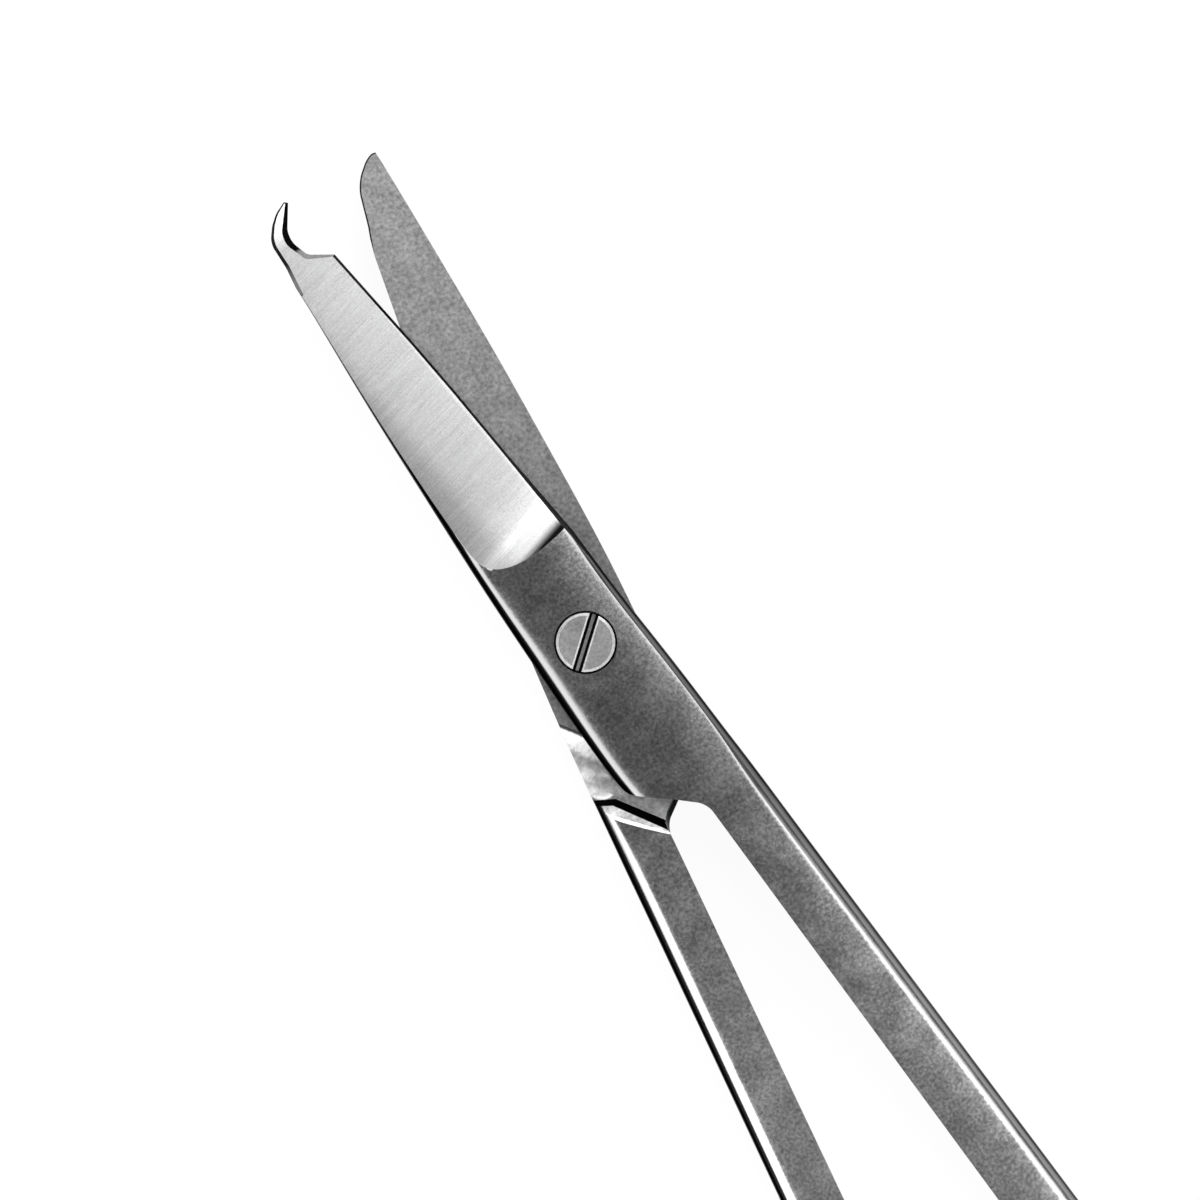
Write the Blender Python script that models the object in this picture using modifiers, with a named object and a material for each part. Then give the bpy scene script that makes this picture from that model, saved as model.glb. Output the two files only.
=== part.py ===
"""Suture scissors: a hook-tipped half and a plain half, lapped on a slotted pivot screw.

Each half is drawn shut in its own frame, in millimetres: the pivot is the origin, the tip
points along +Y, the outer face is up, and the shank and finger ring lie on the +X side.
The plain half is the same forging turned over about the Y axis.
"""

import math

import bmesh
import bpy
from mathutils import Matrix, Vector

MM = 0.001

# Overall sizes
BLADE_REACH = 26.0  # pivot to tips
SHANK_REACH = 39.8  # pivot to the near edge of a finger ring
THICKNESS = 3.2  # joint and finger rings, over both faces
REST_OPENING = 10.95  # angle between the two halves at rest, degrees

# Joint
JOINT_HALF_WIDTH = 2.97
JOINT_SPINE_BAND = 0.72  # width of the rounded side, seen from above
TIP_SPINE_BAND = 0.4
JOINT_EDGE_BAND = 0.36  # width of the steeper side below the cutting edge
FACE_DROP = 0.2  # fall of the crowned face at its edges
SIDE_FLAT = 0.38  # share of the thickness over which a side stands upright
LAP_CLEARANCE = 0.05  # running gap between the two lapped faces
SHOULDER_FOOT_OUT = (2.5, -7.45)
SHOULDER_FOOT_IN = (0.07, -10.0)
SHOULDER_BEND = (3.6, -7.05)  # the foot turns out to here, past the side
SHOULDER_LEAN = 0.45  # how far the shoulder wall leans back at its outer end, over the thickness
END_GAP = 0.12  # joint end to the other half's shoulder, shut
END_CORNER = 0.5
CROTCH_RADIUS = 1.1
RELIEF_WIDTH = 3.2  # strip of the lap that is ground clear, beside the shoulder
RELIEF_DEPTH = 0.1
RELIEF_START = 0.15  # from the shoulder's foot

# Shank
SHANK_THICKNESS = 2.9
HOOK_SHANK = (0.12, 3.05, 3.3)  # mid-line to inner side, outer side, and outer side at the ring
PLAIN_SHANK = (0.26, 3.0, 3.15)
SHANK_BAND = 0.66
SHANK_DROP = 0.25

# Finger ring
RING_HOLE_WIDTH = 17.0
RING_HOLE_LENGTH = 18.4
RING_WIDTH = 3.0
RING_GAP = 0.4  # between the two rings, shut
RING_START = 170.0  # where the shank's inner side runs into the ring, degrees
RING_MOUTH = 45.0  # share of the ring that the shank runs into, degrees
RING_STATIONS = 15  # round the rest of it

# Blade
SPINE_STATIONS = (0.058, 0.2, 0.38, 0.56, 0.72, 0.855, 0.96, 1.08)  # shares of BLADE_REACH
HOOK_SPINE = (-2.7, -2.54, -2.19, -1.88, -1.48, -1.13, -1.1, -1.1)
PLAIN_SPINE = (-2.85, -2.73, -2.42, -2.11, -1.73, -1.4, -1.1, -0.62)
EDGE_STOCK = 2.75  # the forging's side before the cutting edge is ground
EDGE_HEIGHT = 0.24  # thickness left at the cutting edge
BEVEL_ANGLE = 11.5  # rise of the ground face from edge to spine, degrees
WHEEL_RADIUS = 2.5  # run-out of the ground face at the heel
WHEEL_TURN = 6.2  # turn of the wheel's axis in the ground face, degrees
GROUND_START = 7.15  # where the run-out begins, on the cutting edge
HOOK_EDGE = ((2.62, 3.3), (2.45, 5.2), (2.34, 10.2), (2.14, 13.6), (1.91, 16.7), (1.37, 22.45))
PLAIN_EDGE = ((2.62, 3.3), (2.45, 5.2), (2.24, 10.2), (1.93, 14.5), (1.58, 18.15), (1.21, 21.76))

# Hook tip, measured from the end of the blade
NOTCH_FLANK = (1.33, -3.46)
NOTCH_FOOT = (0.29, -2.71)
NOTCH_THROAT = (-0.05, -1.49)
NOTCH_LIP = (1.02, -0.11)
NOTCH_FOOT_RADIUS = 0.45
NOTCH_RADIUS = 1.1
NOTCH_DRAFT = 17.0  # lean of the notch's wall, degrees
HOOK_BACK = ((-1.22, -4.0), (-0.96, -2.65), (-0.84, -1.15), (0.2, -0.2), (0.98, 0.03))
HOOK_BACK_RADII = (0.0, 2.0, 0.9, 1.6, 0.0)
NOSE_DRAFT = 9.0

# Plain tip, measured from the end of the blade
NOSE = ((0.96, -2.55), (0.3, -0.75), (-0.9, 0.07))
NOSE_RADII = (3.0, 2.2, 0.0)

# Pivot screw
SCREW_RADIUS = 1.0
SCREW_HEAD_RADIUS = 1.5
SCREW_HEAD_HEIGHT = 0.95
SCREW_HEAD_CHAMFER = 0.12
SCREW_TAIL_CHAMFER = 0.08
SCREW_SUNK = 0.04  # head below the face
SCREW_FIT = 0.015  # radial, in the plain half, where it is fast
SCREW_RUNNING_FIT = 0.03  # radial, in the hook half
HEAD_FIT = 0.06  # radial, in the counterbore
SEAT_GAP = 0.04  # under the head
SLOT_WIDTH = 0.34
SLOT_DEPTH = 0.45
SLOT_ANGLE = 42.15  # from +X, degrees
TURNED_STEPS = 48

LAP = THICKNESS / 2
PAST = 1.5  # how far a cutter stands past the faces it cuts through
FAR = 8.0  # clear of both sides of the bar


def clear_scene():
    for old in list(bpy.data.objects):
        bpy.data.objects.remove(old, do_unlink=True)


def new_collection(name, helper=False):
    collection = bpy.data.collections.new(name)
    bpy.context.scene.collection.children.link(collection)
    collection.hide_render = helper
    return collection


def steel(name, colour, roughness):
    material = bpy.data.materials.new(name)
    material.use_nodes = True
    shader = material.node_tree.nodes["Principled BSDF"]
    shader.inputs["Base Color"].default_value = (*colour, 1)
    shader.inputs["Metallic"].default_value = 1
    shader.inputs["Roughness"].default_value = roughness
    return material


def add_object(name, bm, collection, smooth=False):
    """Makes an object of a mesh that was drawn in millimetres."""
    bmesh.ops.recalc_face_normals(bm, faces=bm.faces)
    bmesh.ops.scale(bm, vec=(MM, MM, MM), verts=bm.verts)
    mesh = bpy.data.meshes.new(name)
    bm.to_mesh(mesh)
    bm.free()
    if smooth:
        mesh.shade_smooth()
    obj = bpy.data.objects.new(name, mesh)
    collection.objects.link(obj)
    return obj


def mix(a, b, share):
    return a + (b - a) * min(max(share, 0), 1)


# Outlines


def rounded(corners, radii, steps=6):
    """The outline through these corners, each rounded by an arc of its radius."""
    outline = []
    for index, (corner, radius) in enumerate(zip(corners, radii)):
        here = Vector(corner)
        if radius == 0:
            outline.append(here)
            continue
        before = (Vector(corners[index - 1]) - here).normalized()
        after = (Vector(corners[(index + 1) % len(corners)]) - here).normalized()
        half_angle = before.angle(after) / 2
        centre = here + (before + after).normalized() * radius / math.sin(half_angle)
        start = here + before * radius / math.tan(half_angle) - centre
        turn = start.angle_signed(here + after * radius / math.tan(half_angle) - centre)
        for step in range(steps + 1):
            outline.append(centre + Matrix.Rotation(-turn * step / steps, 2) @ start)
    return outline


def grown(outline, distance):
    """The closed outline moved sideways by this distance, outwards when positive."""
    area = sum(a.cross(b) for a, b in zip(outline, outline[1:] + outline[:1]))
    side = math.copysign(1, area)
    moved = []
    for index, here in enumerate(outline):
        before = (here - outline[index - 1]).normalized()
        after = (outline[(index + 1) % len(outline)] - here).normalized()
        normal_before = Vector((before.y, -before.x)) * side
        normal_after = Vector((after.y, -after.x)) * side
        mitre = (normal_before + normal_after) / (1 + normal_before.dot(normal_after))
        moved.append(here + mitre * distance)
    return moved


def prism(low_outline, low, high_outline, high):
    """A solid between two outlines of as many points, at heights low and high."""
    bm = bmesh.new()
    face = bm.faces.new([bm.verts.new((x, y, low)) for x, y in low_outline])
    moved = bmesh.ops.extrude_face_region(bm, geom=[face])["geom"]
    raised = [item for item in moved if isinstance(item, bmesh.types.BMVert)]
    targets = {tuple(old): new for old, new in zip(low_outline, high_outline)}
    for vert in raised:
        nearest = min(targets, key=lambda place: (Vector(place) - vert.co.xy).length_squared)
        vert.co = (*targets[nearest], high)
    return bm


# The forging


def shank_share(y):
    """0 in the joint and 1 in the shank, by the place along the bar."""
    return (SHOULDER_FOOT_OUT[1] - y) / (SHOULDER_FOOT_OUT[1] - SHOULDER_FOOT_IN[1])


def bar_section(y, left, right):
    """Twelve corners of the bar: four across the top, two down each side, four below."""
    share = shank_share(y)
    thinning = (SHOULDER_FOOT_IN[1] - y) / (SHANK_REACH / 2)
    top = mix(THICKNESS, SHANK_THICKNESS, thinning) / 2
    spine_band = mix(JOINT_SPINE_BAND, TIP_SPINE_BAND, y / BLADE_REACH)
    band = mix(JOINT_EDGE_BAND, SHANK_BAND, share)
    drop = mix(FACE_DROP, SHANK_DROP, share)
    apex = mix(0.5, 0.2, share)
    face_left = left + spine_band
    face_right = right - band
    upper = []
    for across in (0, 1 / 3, 2 / 3, 1):
        fall = drop * ((across - apex) / (1 - apex)) ** 2
        upper.append((mix(face_left, face_right, across), y, top - fall))
    side = top * SIDE_FLAT
    lower = [(x, y, -z) for x, y, z in reversed(upper)]
    return upper + [(right, y, side), (right, y, -side)] + lower + [(left, y, -side), (left, y, side)]


def bar_stations(spine, shank):
    """(y, left, right) along the bar, from past the tip down to where the ring starts."""
    width = JOINT_HALF_WIDTH
    inner, outer, outer_end = shank
    inner -= JOINT_SPINE_BAND
    foot = SHOULDER_FOOT_IN[1]
    stations = [(BLADE_REACH * s, x, EDGE_STOCK) for s, x in zip(SPINE_STATIONS, spine)]
    stations.reverse()
    stations += [(-1.5, -0.95 * width, 0.967 * width), (-4.5, -0.985 * width, width)]
    stations += [(SHOULDER_FOOT_OUT[1], -0.965 * width, 1.01 * width)]
    stations += [(foot + 0.9, -0.85 * width, outer), (foot - 1.4, inner - 0.35, outer + 0.03)]
    last = -(SHANK_REACH - RING_WIDTH / 2)
    for share in (0.15, 0.38, 0.6, 0.82, 1):
        y = mix(foot, last, share)
        stations.append((y, inner, mix(outer, outer_end, share)))
    return stations


def ring_section(angle):
    """Twelve corners of the ring: four across the top from the hole out, and so round."""
    centre = Vector((RING_GAP / 2 + RING_WIDTH + RING_HOLE_WIDTH / 2, 0))
    centre.y = -(SHANK_REACH + RING_WIDTH + RING_HOLE_LENGTH / 2)
    toward = Vector((math.cos(angle), math.sin(angle)))
    hole = Vector((RING_HOLE_WIDTH / 2 * toward.x, RING_HOLE_LENGTH / 2 * toward.y))
    outward = Vector((toward.x / RING_HOLE_WIDTH, toward.y / RING_HOLE_LENGTH)).normalized()
    half = RING_WIDTH / 2
    top = THICKNESS / 2
    profile = [(-0.66, 0.89), (-0.25, 1.0), (0.25, 1.0), (0.66, 0.89), (1.02, 0.36), (1.02, -0.36)]
    profile += [(-u, -w) for u, w in profile]
    corners = []
    for u, w in profile:
        place = centre + hole + outward * half * (1 + u)
        corners.append((place.x, place.y, w * top))
    return corners


def bridge(bm, first, second):
    """Quads between two closed rows of as many corners."""
    count = len(first)
    return [
        bm.faces.new((first[k], first[(k + 1) % count], second[(k + 1) % count], second[k]))
        for k in range(count)
    ]


def forging(name, spine, shank, collection):
    """One half before grinding: blade stock, joint, shank and ring in one smooth piece."""
    bm = bmesh.new()
    crease = bm.edges.layers.float.new("crease_edge")
    bar = [[bm.verts.new(c) for c in bar_section(*s)] for s in bar_stations(spine, shank)]
    bm.faces.new(bar[0])
    for first, second in zip(bar, bar[1:]):
        bridge(bm, first, second)
        fade = mix(1, 0, (-second[0].co.y - SHANK_REACH * 0.7) / (SHANK_REACH * 0.25))
        for corner, value in ((0, 0.25), (3, 0.85), (6, 0.85), (9, 0.25)):
            bm.edges.get((first[corner], second[corner]))[crease] = value * fade
    turns = [RING_MOUTH * index / 3 for index in range(3)]
    turns += [mix(RING_MOUTH, 360, index / RING_STATIONS) for index in range(RING_STATIONS)]
    ring = [[bm.verts.new(c) for c in ring_section(math.radians(RING_START - t))] for t in turns]
    for index, station in enumerate(ring):
        faces = bridge(bm, station, ring[(index + 1) % len(ring)])
        if index < 3:
            bmesh.ops.delete(bm, geom=faces[3:6], context="FACES_ONLY")
    mouth = [ring[index][3] for index in range(4)] + [ring[3][4], ring[3][5]]
    mouth += [ring[index][6] for index in (3, 2, 1, 0)] + [ring[0][5], ring[0][4]]
    bridge(bm, bar[-1], mouth)
    bmesh.ops.delete(bm, geom=[e for e in bm.edges if not e.link_faces], context="EDGES")
    bmesh.ops.translate(bm, vec=(0, 0, LAP), verts=bm.verts)
    obj = add_object(name, bm, collection, smooth=True)
    subdivision = obj.modifiers.new("forged surface", "SUBSURF")
    subdivision.levels = 1
    subdivision.render_levels = 1
    return obj


# The grinding and drilling


def lap_cut():
    """Takes the lower layer off the joint and blade, up to a leaning shoulder."""
    foot_out = Vector(SHOULDER_FOOT_OUT)
    foot_in = Vector(SHOULDER_FOOT_IN)
    along = foot_in - foot_out
    beyond = foot_in + along
    far = [Vector((-FAR, BLADE_REACH + FAR)), Vector((FAR, BLADE_REACH + FAR))]
    foot = [Vector((FAR, foot_out.y + 1.6)), Vector(SHOULDER_BEND), foot_out, beyond, Vector((-FAR, beyond.y))]
    lean = along.orthogonal().normalized() * SHOULDER_LEAN
    lean = lean if lean.y < 0 else -lean
    back = (LAP + PAST) / LAP
    shares = (1, 1, 1, 0, 0)
    crest = [place + lean * back * share for place, share in zip(foot, shares)]
    return prism(far + crest, -PAST, far + foot, LAP + LAP_CLEARANCE / 2)


def relief_cut():
    """A long shallow hollow in the lap, beside and along the shoulder."""
    foot_out = Vector(SHOULDER_FOOT_OUT)
    along = (Vector(SHOULDER_FOOT_IN) - foot_out).normalized()
    across = Vector((-along.y, along.x))
    across = across if across.y > 0 else -across
    floor = LAP + LAP_CLEARANCE / 2
    radius = RELIEF_WIDTH**2 / (2 * RELIEF_DEPTH)
    profile = [(RELIEF_START, floor - RELIEF_DEPTH)]
    steps = 5
    for step in range(steps + 1):
        s = RELIEF_WIDTH * step / steps
        profile.append((RELIEF_START + s, floor + RELIEF_DEPTH - s**2 / (2 * radius)))
    profile.append((RELIEF_START + RELIEF_WIDTH, floor - RELIEF_DEPTH))
    bm = bmesh.new()
    origin = foot_out - along * 5
    corners = []
    for s, z in profile:
        place = origin + across * s
        corners.append(bm.verts.new((place.x, place.y, z)))
    face = bm.faces.new(corners)
    moved = bmesh.ops.extrude_face_region(bm, geom=[face])["geom"]
    verts = [item for item in moved if isinstance(item, bmesh.types.BMVert)]
    length = along * (SHOULDER_FOOT_OUT[1] - SHOULDER_FOOT_IN[1]) * 4
    bmesh.ops.translate(bm, vec=(length.x, length.y, 0), verts=verts)
    return bm


def bevel_cut(edge):
    """The wheel's path over the outer face: a leaning plane with a round run-out at the heel."""
    low_end = Vector(edge[1])
    high_end = Vector(edge[-1])
    ahead = (high_end - low_end).normalized()
    ahead = Vector((ahead.x, ahead.y, 0))
    rise = math.radians(BEVEL_ANGLE)
    plan = Vector((-ahead.y, ahead.x, 0))
    across = plan * math.cos(rise) + Vector((0, 0, math.sin(rise)))
    normal = ahead.cross(across)
    normal = normal if normal.z > 0 else -normal
    turn = Matrix.Rotation(math.radians(WHEEL_TURN), 3, normal)
    axis = turn @ across
    forward = turn @ ahead
    share = (GROUND_START - low_end.y) / (high_end.y - low_end.y)
    start = low_end.lerp(high_end, share).to_3d()
    start.z = LAP + EDGE_HEIGHT
    steps = 9
    profile = []
    for step in range(steps + 1):
        angle = math.pi / 2 * step / steps
        profile.append((-WHEEL_RADIUS * math.sin(angle), WHEEL_RADIUS * (1 - math.cos(angle))))
    profile += [(-WHEEL_RADIUS, 2 * THICKNESS), (BLADE_REACH, 2 * THICKNESS), (BLADE_REACH, 0)]
    bm = bmesh.new()
    origin = start - axis * 4
    face = bm.faces.new([bm.verts.new(origin + forward * s + normal * n) for s, n in profile])
    moved = bmesh.ops.extrude_face_region(bm, geom=[face])["geom"]
    verts = [item for item in moved if isinstance(item, bmesh.types.BMVert)]
    bmesh.ops.translate(bm, vec=axis * 14, verts=verts)
    return bm


def edge_cut(edge):
    """Everything past the cutting edge, down its length."""
    outline = [Vector(place) for place in edge]
    outline.insert(0, outline[0] + (outline[0] - outline[1]))
    outline.append(outline[-1] + (outline[-1] - outline[-2]) * 1.4)
    outline += [Vector((FAR, outline[-1].y)), Vector((FAR, outline[0].y))]
    return prism(outline, -PAST, outline, THICKNESS + PAST)


def from_tip(place):
    return Vector((place[0], BLADE_REACH + place[1]))


def drafted(outline, draft):
    """A cutter for the blade alone, whose wall leans into what it leaves, from the lap up."""
    slope = math.tan(math.radians(draft))
    low = LAP - LAP_CLEARANCE
    high = THICKNESS + LAP_CLEARANCE
    return prism(grown(outline, (low - LAP) * slope), low, grown(outline, (high - LAP) * slope), high)


def notch_cut():
    """The stitch notch behind the hook."""
    flank = from_tip(NOTCH_FLANK)
    foot = from_tip(NOTCH_FOOT)
    throat = from_tip(NOTCH_THROAT)
    lip = from_tip(NOTCH_LIP)
    flank_end = flank + (flank - foot) * 3
    lip_end = lip + (lip - throat) * 1.2
    corners = [flank_end, foot, throat, lip_end, Vector((FAR, lip_end.y))]
    return drafted(rounded(corners, (0, NOTCH_FOOT_RADIUS, NOTCH_RADIUS, 0, 0)), NOTCH_DRAFT)


def hook_back_cut():
    """Everything outside the back of the hook."""
    back = [from_tip(place) for place in HOOK_BACK]
    below_lip = back[-1].y - 0.35
    corners = [Vector((-FAR, back[0].y))] + back + [back[-1] + Vector((0.6, -0.35))]
    corners += [Vector((FAR, below_lip)), Vector((FAR, BLADE_REACH + FAR)), Vector((-FAR, BLADE_REACH + FAR))]
    radii = (0, *HOOK_BACK_RADII, 0, 0, 0, 0)
    return drafted(rounded(corners, radii), NOSE_DRAFT)


def nose_cut():
    """Everything outside the plain half's rounded nose."""
    nose = [from_tip(place) for place in NOSE]
    edge_end = Vector(PLAIN_EDGE[-1])
    start = edge_end + (edge_end - nose[0])
    end = nose[-1] + (nose[-1] - nose[-2])
    corners = [start] + nose + [end, Vector((end.x, BLADE_REACH + FAR)), Vector((FAR, BLADE_REACH + FAR))]
    corners.append(Vector((FAR, start.y)))
    radii = (0, *NOSE_RADII, 0, 0, 0, 0)
    return drafted(rounded(corners, radii), NOSE_DRAFT)


def inner_side_cut(inner):
    """The joint's slanting end and the flat inner side of the shank, in one cut."""
    out = Vector((-SHOULDER_FOOT_OUT[0], SHOULDER_FOOT_OUT[1]))
    into = Vector((-SHOULDER_FOOT_IN[0], SHOULDER_FOOT_IN[1]))
    along = (into - out).normalized()
    clear = Vector((-along.y, along.x)) * END_GAP
    out += clear
    into += clear
    side = Vector((-JOINT_HALF_WIDTH, 0))
    corner = out - along * (out.x - side.x) / along.x
    share = (inner - out.x) / along.x
    crotch = out + along * share
    bottom = -(SHANK_REACH + RING_WIDTH + RING_HOLE_LENGTH / 2)
    start = corner + Vector((-0.35, 1.8))
    corners = [start, corner, crotch]
    corners += [Vector((inner, bottom)), Vector((-FAR, bottom)), Vector((-FAR, start.y))]
    outline = rounded(corners, (0, END_CORNER, CROTCH_RADIUS, 0, 0, 0))
    return prism(outline, -PAST, outline, THICKNESS + PAST)


def hole_cut(radius, bottom, top):
    bm = bmesh.new()
    place = Matrix.Translation((0, 0, (bottom + top) / 2))
    bmesh.ops.create_cone(
        bm,
        cap_ends=True,
        segments=TURNED_STEPS,
        radius1=radius,
        radius2=radius,
        depth=top - bottom,
        matrix=place,
    )
    return bm


def cut(obj, name, bm, cutters):
    """Takes this solid out of the object, in the object's own frame."""
    cutter = add_object(obj.name + "_" + name, bm, cutters)
    cutter.parent = obj
    cutter.display_type = "WIRE"
    cutter.hide_render = True
    boolean = obj.modifiers.new(name, "BOOLEAN")
    boolean.operation = "DIFFERENCE"
    boolean.solver = "EXACT"
    boolean.object = cutter


# The pieces


def hook_half(parts, cutters):
    obj = forging("hook_half", HOOK_SPINE, HOOK_SHANK, parts)
    cut(obj, "lap", lap_cut(), cutters)
    cut(obj, "relief", relief_cut(), cutters)
    cut(obj, "bevel", bevel_cut(HOOK_EDGE), cutters)
    cut(obj, "edge", edge_cut(HOOK_EDGE), cutters)
    cut(obj, "notch", notch_cut(), cutters)
    cut(obj, "back", hook_back_cut(), cutters)
    cut(obj, "inner_side", inner_side_cut(HOOK_SHANK[0]), cutters)
    cut(obj, "bore", hole_cut(SCREW_RADIUS + SCREW_RUNNING_FIT, -PAST, THICKNESS + PAST), cutters)
    seat = THICKNESS - SCREW_SUNK - SCREW_HEAD_HEIGHT - SEAT_GAP
    cut(obj, "counterbore", hole_cut(SCREW_HEAD_RADIUS + HEAD_FIT, seat, THICKNESS + PAST), cutters)
    obj.rotation_euler = (0, 0, math.radians(REST_OPENING / 2))
    obj.data.materials.append(steel("hook_half_steel", (0.56, 0.56, 0.57), 0.32))


def plain_half(parts, cutters):
    obj = forging("plain_half", PLAIN_SPINE, PLAIN_SHANK, parts)
    cut(obj, "lap", lap_cut(), cutters)
    cut(obj, "relief", relief_cut(), cutters)
    cut(obj, "bevel", bevel_cut(PLAIN_EDGE), cutters)
    cut(obj, "edge", edge_cut(PLAIN_EDGE), cutters)
    cut(obj, "nose", nose_cut(), cutters)
    cut(obj, "inner_side", inner_side_cut(PLAIN_SHANK[0]), cutters)
    cut(obj, "bore", hole_cut(SCREW_RADIUS + SCREW_FIT, -PAST, THICKNESS + PAST), cutters)
    obj.location = (0, 0, THICKNESS * MM)
    obj.rotation_euler = (0, math.pi, math.radians(-REST_OPENING / 2))
    obj.data.materials.append(steel("plain_half_steel", (0.55, 0.55, 0.56), 0.36))


def pivot_screw(parts, cutters):
    """Slotted countersunk-flush head above, tail ground level with the underside."""
    top = THICKNESS - SCREW_SUNK
    neck = top - SCREW_HEAD_HEIGHT
    profile = [
        (0, top),
        (SCREW_HEAD_RADIUS - SCREW_HEAD_CHAMFER, top),
        (SCREW_HEAD_RADIUS, top - SCREW_HEAD_CHAMFER),
        (SCREW_HEAD_RADIUS, neck),
        (SCREW_RADIUS, neck),
        (SCREW_RADIUS, SCREW_TAIL_CHAMFER),
        (SCREW_RADIUS - SCREW_TAIL_CHAMFER, 0),
        (0, 0),
    ]
    bm = bmesh.new()
    verts = [bm.verts.new((x, 0, z)) for x, z in profile]
    for first, second in zip(verts, verts[1:]):
        bm.edges.new((first, second))
    obj = add_object("pivot_screw", bm, parts)
    turned = obj.modifiers.new("turned", "SCREW")
    turned.steps = TURNED_STEPS
    turned.render_steps = TURNED_STEPS
    turned.use_merge_vertices = True
    turned.merge_threshold = 0.000001
    slot = bmesh.new()
    bmesh.ops.create_cube(slot, size=1)
    reach = 2 * (SCREW_HEAD_RADIUS + PAST)
    bmesh.ops.scale(slot, vec=(reach, SLOT_WIDTH, 2 * SLOT_DEPTH), verts=slot.verts)
    bmesh.ops.translate(slot, vec=(0, 0, top), verts=slot.verts)
    cut(obj, "slot", slot, cutters)
    obj.rotation_euler = (0, 0, math.radians(SLOT_ANGLE))
    obj.data.materials.append(steel("screw_steel", (0.5, 0.5, 0.51), 0.3))


def main():
    clear_scene()
    parts = new_collection("suture_scissors")
    cutters = new_collection("cutters", helper=True)
    hook_half(parts, cutters)
    plain_half(parts, cutters)
    pivot_screw(parts, cutters)


main()
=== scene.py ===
"""Looks of the suture scissors: the two forged halves and the pivot screw, finely finished.

Each half is modelled shut in its own frame, in millimetres, as the forging is drawn out and then
ground: the pivot is the origin, the tip points along +Y, the outer face is up, and the shank and
finger ring lie on the +X side. The plain half is then turned over, and both open by half the
angle of the rest pose.
"""

import math

import bmesh
import bpy
from mathutils import Matrix, Vector


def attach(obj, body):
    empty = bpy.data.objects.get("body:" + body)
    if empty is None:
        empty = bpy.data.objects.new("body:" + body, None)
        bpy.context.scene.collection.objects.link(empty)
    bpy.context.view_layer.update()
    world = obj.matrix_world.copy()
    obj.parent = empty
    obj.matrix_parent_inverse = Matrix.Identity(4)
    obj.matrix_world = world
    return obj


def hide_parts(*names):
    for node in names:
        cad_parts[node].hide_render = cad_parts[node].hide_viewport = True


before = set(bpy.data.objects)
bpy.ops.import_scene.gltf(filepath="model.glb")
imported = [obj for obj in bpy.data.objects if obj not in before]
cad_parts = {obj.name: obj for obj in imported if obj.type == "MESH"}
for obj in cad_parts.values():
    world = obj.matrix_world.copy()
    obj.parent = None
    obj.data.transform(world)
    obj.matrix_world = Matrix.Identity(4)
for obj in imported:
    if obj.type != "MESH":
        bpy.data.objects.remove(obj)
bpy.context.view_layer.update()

MM = 0.001

# Overall sizes, in millimetres and degrees
BLADE_REACH = 26.0
SHANK_REACH = 39.8
THICKNESS = 3.2
LAP = THICKNESS / 2
REST_OPENING = 10.95

# Joint. A band is the width over which a face rounds off into a side
JOINT_HALF_WIDTH = 2.97
JOINT_SPINE_BAND = 0.68
END_SPINE_BAND = 0.42
TIP_SPINE_BAND = 0.34
JOINT_EDGE_BAND = 0.36
FACE_DROP = 0.2
# Share of the thickness over which a side stands upright, at the joint and on the blade
SIDE_FLAT = 0.6
BLADE_SIDE_FLAT = 0.85
LAP_CLEARANCE = 0.05
SHOULDER_FOOT_OUT = Vector((1.96, -7.53))
SHOULDER_FOOT_IN = Vector((0.035, -9.68))
SHOULDER_BEND = Vector((3.6, -6.9))
SHOULDER_LEAN = 0.25
SHOULDER_STOCK = 1.6
# The shoulder's top at its two ends, as (distance back from its foot, height), and where its
# cutter starts and stops, as shares of the shoulder's length
CREST_REACH = (-0.7, 1.3)
CREST_OUT = ((0.28, 0.42), (0.8, 0.33), (0.92, 0.24))
CREST_IN = ((0.34, 0.12), (0.47, 0.1), (0.6, 0.0))
# The joint's slanting end: its corner, a bend, and the crotch
JOINT_END = ((-2.78, -7.3), (-1.0, -8.77), (0.0, -9.84))
END_START = Vector((-0.17, 1.8))
END_LEAN = 0.48
END_CORNER = 0.45
CROTCH_RADIUS = 1.1
RELIEF_WIDTH = 2.17
RELIEF_DEPTH = 0.2
RELIEF_START = 0.15
RELIEF_STEPS = 12
# Where the relief's cutter starts, before the shoulder's outer end, and how long it is
RELIEF_RUN = (5, 9)
SPOT_PLACE = Vector((2.28, -6.56))
SPOT_RADIUS = 0.85
SPOT_DEPTH = 0.05
# Where the joint's sides lie, as (y, left, right), the sides as shares of its half width
JOINT_STATIONS = ((-1.5, -0.95, 0.967), (-4.5, -0.985, 1.0), (SHOULDER_FOOT_OUT.y, -0.965, 1.01))
HOOK_EDGE_BREAK = 0.1
PLAIN_EDGE_BREAK = 0.26
SIDE_STOCK = 0.4

# Shank and finger ring. A shank is (inner side, outer side at the joint, outer side at the ring)
SHANK_THICKNESS = 2.9
HOOK_SHANK = (0.12, 3.05, 3.3)
PLAIN_SHANK = (0.26, 3.0, 3.15)
SHANK_STATIONS = (0.15, 0.38, 0.6, 0.82, 0.95, 1)
SHANK_BAND = 0.66
SHANK_DROP = 0.12
RING_HOLE_WIDTH = 17.0
RING_HOLE_LENGTH = 18.4
RING_WIDTH = 3.0
RING_GAP = 0.4
RING_START = 170.0
RING_MOUTH = 45.0
RING_STATIONS = 15
# The ring's section, as shares of half its width and half its thickness
RING_PROFILE = ((-0.66, 0.89), (-0.25, 1.0), (0.25, 1.0), (0.66, 0.89), (1.02, 0.36), (1.02, -0.36))

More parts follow.
